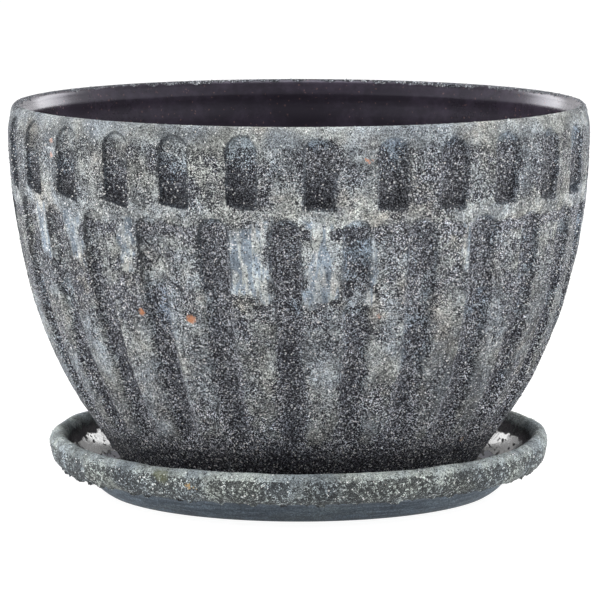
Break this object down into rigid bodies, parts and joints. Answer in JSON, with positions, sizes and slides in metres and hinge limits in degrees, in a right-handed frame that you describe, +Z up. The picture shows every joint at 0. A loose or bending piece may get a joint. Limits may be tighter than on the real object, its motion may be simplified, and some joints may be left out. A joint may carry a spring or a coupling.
{
  "type": "planter bowl",
  "caption": "Round footed planter bowl with two offset rows of vertical flutes, a rounded lip, a glazed inside and a drain hole, standing loose in a shallow saucer with a thick rolled rim.",
  "frame": {"origin": "on the surface it stands on, under the common axis of bowl and saucer", "axes": "+Z up along the axis, -Y towards the side the picture shows, +X to that view's right"},
  "size_m": [0.2975, 0.2978, 0.199],
  "materials": {
    "gritty_stoneware": "coarse sanded slate-grey slip outside with bare charcoal in the flutes, satin dark brown-black glaze inside",
    "slipped_stoneware": "pale sanded slate-blue slip on the rim, smooth darker slip on the foot, glossy dark glaze inside"
  },
  "bodies": {
    "saucer": {"saucer": "slipped_stoneware"},
    "bowl": {"bowl": "gritty_stoneware"}
  },
  "joints": [
    {"name": "bowl_lift", "type": "slide", "parent": "saucer", "child": "bowl", "axis": [0, 0, 1], "range_m": [0, 0.06]}
  ]
}
